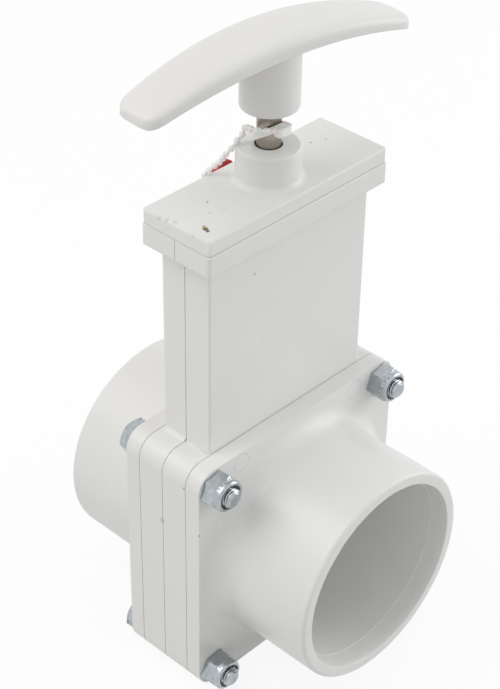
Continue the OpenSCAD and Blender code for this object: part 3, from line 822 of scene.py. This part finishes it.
class VALVE_OT_stage(bpy.types.Operator):
    """Set the pale floor, soft lights and camera round the valve"""

    bl_idname = "valve.stage"
    bl_label = "Stage"

    def lay_floor(self):
        bpy.ops.object.select_all(action="DESELECT")
        bpy.ops.mesh.primitive_plane_add(size=FLOOR_SIDE, location=(0, 0, CAD_BOX[0].z))
        floor = bpy.context.object
        floor.name = "floor"
        bpy.ops.object.transform_apply(location=True)
        # painted board, which shows white with the valve's shadow on it
        material, tree, shader, place = start("pale_floor_board")
        mottle = add(tree, "TexNoise", {"Scale": 1 / (60 * MM), "Detail": 2}, {"Vector": place})
        tone = blend_colour(tree, shade_of(tuple(colours().floor), 0.985), tuple(colours().floor),
                            mottle.outputs["Fac"])
        tree.links.new(tone, shader.inputs["Base Color"])
        shader.inputs["Roughness"].default_value = 0.9
        share = add(tree, "Math", {"operation": "MULTIPLY", 1: 0.8}, {0: seen_rays(tree)})
        glow = add(tree, "Emission", {"Color": (1, 1, 1, 1), "Strength": 1.1})
        both = add(tree, "MixShader", {}, {0: share.outputs[0], 1: shader.outputs[0], 2: glow.outputs[0]})
        tree.links.new(both.outputs[0], tree.nodes["Material Output"].inputs["Surface"])
        paint(floor, material)

    def light_room(self, scene):
        """Even light from all round, which shows as white."""
        world = bpy.data.worlds.new("studio_room")
        world.use_nodes = True
        scene.world = world
        tree = world.node_tree
        room = tree.nodes["Background"]
        room.inputs["Color"].default_value = (1.0, 1.0, 1.0, 1)
        room.inputs["Strength"].default_value = ROOM_LIGHT
        seen = add(tree, "Background", {"Color": (1, 1, 1, 1), "Strength": 1.0})
        both = add(tree, "MixShader", {}, {0: seen_rays(tree), 1: room.outputs[0], 2: seen.outputs[0]})
        tree.links.new(both.outputs[0], tree.nodes["World Output"].inputs["Surface"])

    def hang_lamps(self):
        centre = (CAD_BOX[0] + CAD_BOX[1]) / 2
        for name, way, power, tint in LAMPS:
            back = Vector(way).normalized()
            bpy.ops.object.light_add(type="AREA", location=centre + back * LAMP_REACH)
            lamp = bpy.context.object
            lamp.name = name
            lamp.data.shape = "SQUARE"
            lamp.data.size = LAMP_SIDE
            lamp.data.energy = power
            lamp.data.color = tint
            lamp.rotation_mode = "QUATERNION"
            lamp.rotation_quaternion = back.to_track_quat("Z", "Y")

    def stand_camera(self, scene):
        bpy.ops.object.camera_add()
        camera = bpy.context.object
        camera.name = "three_quarter_camera"
        camera.data.sensor_width = 36
        camera.data.lens = CAMERA_LENS
        camera.data.clip_start = 0.01
        turn, lift, roll = (math.radians(a) for a in (CAMERA_TURN, CAMERA_LIFT, CAMERA_ROLL))
        back = Vector((math.sin(turn) * math.cos(lift), -math.cos(turn) * math.cos(lift), math.sin(lift)))
        right = Vector((math.cos(turn), math.sin(turn), 0))
        up = back.cross(right)
        across = right * math.cos(roll) + up * math.sin(roll)
        upward = up * math.cos(roll) - right * math.sin(roll)
        facing = Matrix((across, upward, back)).transposed().to_4x4()
        camera.matrix_world = Matrix.Translation(CAMERA_TARGET + back * CAMERA_REACH) @ facing
        scene.camera = camera

    def execute(self, context):
        self.lay_floor()
        self.light_room(context.scene)
        self.hang_lamps()
        self.stand_camera(context.scene)
        context.scene.view_settings.view_transform = "Standard"
        return {"FINISHED"}


STEPS = (VALVE_OT_stage, VALVE_OT_hubs, VALVE_OT_body_halves, VALVE_OT_cap, VALVE_OT_gate_set,
         VALVE_OT_handle, VALVE_OT_bolts, VALVE_OT_nuts, VALVE_OT_tie, VALVE_OT_clip)


class VALVE_PT_sidebar(bpy.types.Panel):
    """Lists the valve's pieces, sizes and colours"""

    bl_idname = "VALVE_PT_sidebar"
    bl_label = "Slide Gate Valve"
    bl_space_type = "VIEW_3D"
    bl_region_type = "UI"
    bl_category = "Slide Gate Valve"

    def draw(self, context):
        for group in (context.scene.valve_sizes, context.scene.valve_colours):
            box = self.layout.box()
            for key in group.__annotations__:
                box.prop(group, key)
        column = self.layout.column(align=True)
        for step in STEPS:
            column.operator(step.bl_idname)


CLASSES = (ValveSizes, ValveColours, *STEPS, VALVE_PT_sidebar)


def register():
    for item in CLASSES:
        bpy.utils.register_class(item)
    bpy.types.Scene.valve_sizes = PointerProperty(type=ValveSizes)
    bpy.types.Scene.valve_colours = PointerProperty(type=ValveColours)


def unregister():
    del bpy.types.Scene.valve_colours
    del bpy.types.Scene.valve_sizes
    for item in reversed(CLASSES):
        bpy.utils.unregister_class(item)


def main():
    """Dresses the valve step by step."""
    register()
    for step in STEPS:
        getattr(bpy.ops.valve, step.bl_idname.split(".")[1])()


if __name__ == "__main__":
    main()
